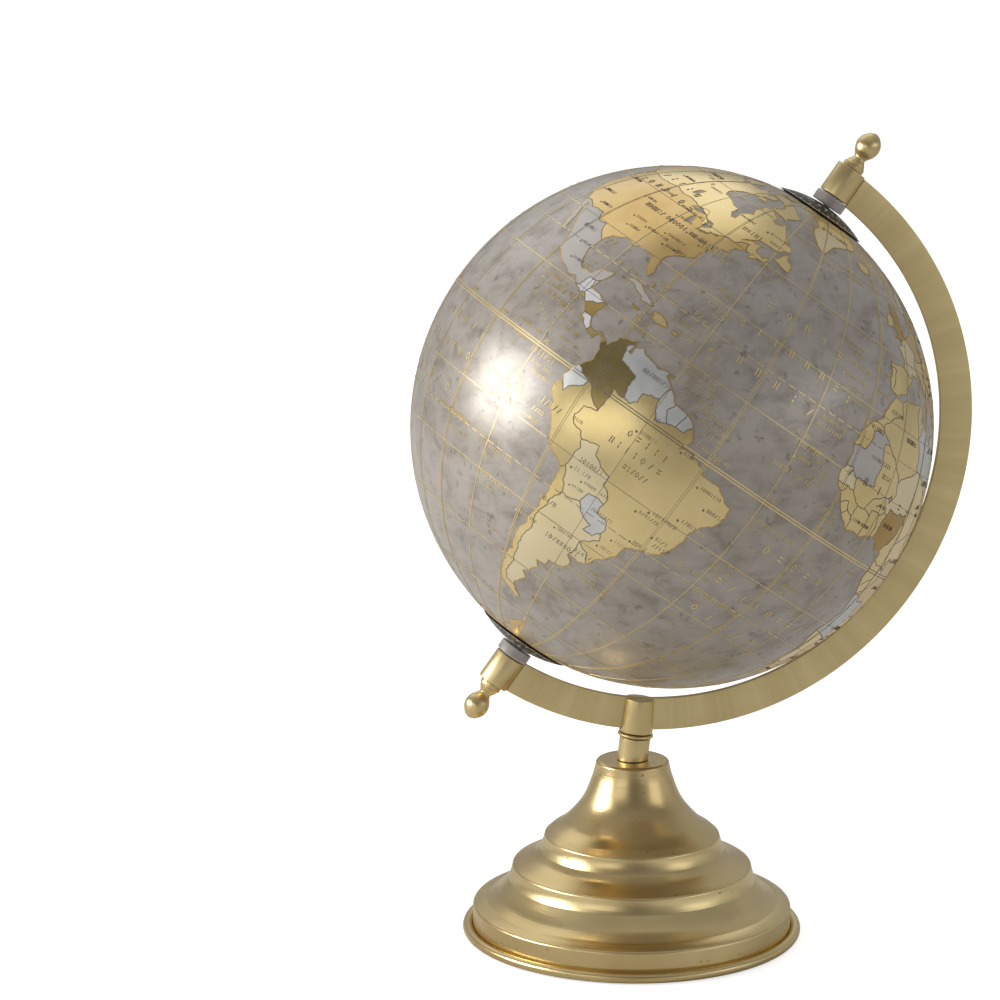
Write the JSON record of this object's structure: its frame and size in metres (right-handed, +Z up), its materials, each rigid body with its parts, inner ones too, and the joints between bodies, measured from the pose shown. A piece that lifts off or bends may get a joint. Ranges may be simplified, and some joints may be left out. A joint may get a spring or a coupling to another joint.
{
  "type": "desktop globe on stand",
  "caption": "Tilted ball globe turning between two pole dials in a flat half-circle arm, on a stepped spun brass base.",
  "frame": {"origin": "centre of the base's underside, on the surface the globe stands on", "axes": "+Z up, along the base's own axis; the arm lies in the XZ plane, with its bulge and the north pole towards +X"},
  "size_m": [0.2195, 0.2, 0.3127],
  "materials": {
    "spun_brass": "satin spun",
    "turned_brass": "satin turned",
    "brushed_brass": "brushed",
    "steel": "satin",
    "cast_weight": "rough",
    "felt": "matt",
    "clear_plastic": "clear, slightly grey",
    "dial_plastic": "dark, with gold marks",
    "printed_ball": "marbled grey lacquer with gold leaf land",
    "ball_lining": "matt"
  },
  "bodies": {
    "stand": {"base_shell": "spun_brass", "base_tray": "spun_brass", "base_weight": "cast_weight", "felt_pad": "felt"},
    "arm": {"stud_washer": "steel", "stud_nut": "steel", "centre_stud": "steel", "stem_sleeve": "turned_brass", "stem_collar": "turned_brass", "foot_boss": "turned_brass", "meridian_arc": "brushed_brass", "north_boss": "turned_brass", "south_boss": "turned_brass", "north_bush": "clear_plastic", "south_bush": "clear_plastic", "north_pin": "steel", "south_pin": "steel", "north_finial": "turned_brass", "south_finial": "turned_brass"},
    "north_hour_dial": {"north_dial": "dial_plastic"},
    "south_hour_dial": {"south_dial": "dial_plastic"},
    "globe": {"north_hemisphere": "printed_ball", "south_hemisphere": "printed_ball", "north_pole_socket": "ball_lining", "south_pole_socket": "ball_lining", "equator_ring": "ball_lining"}
  },
  "joints": [
    {"name": "arm_swivel", "type": "hinge", "parent": "stand", "child": "arm", "pos_m": [0, 0, 0.07], "axis": [0, 0, 1], "continuous": true},
    {"name": "globe_spin", "type": "hinge", "parent": "arm", "child": "globe", "pos_m": [0.01426, 0, 0.20123], "axis": [0.5821, 0, 0.8131], "continuous": true},
    {"name": "north_dial_spin", "type": "hinge", "parent": "arm", "child": "north_hour_dial", "pos_m": [0.01426, 0, 0.20123], "axis": [0.5821, 0, 0.8131], "continuous": true},
    {"name": "south_dial_spin", "type": "hinge", "parent": "arm", "child": "south_hour_dial", "pos_m": [0.01426, 0, 0.20123], "axis": [0.5821, 0, 0.8131], "continuous": true}
  ]
}
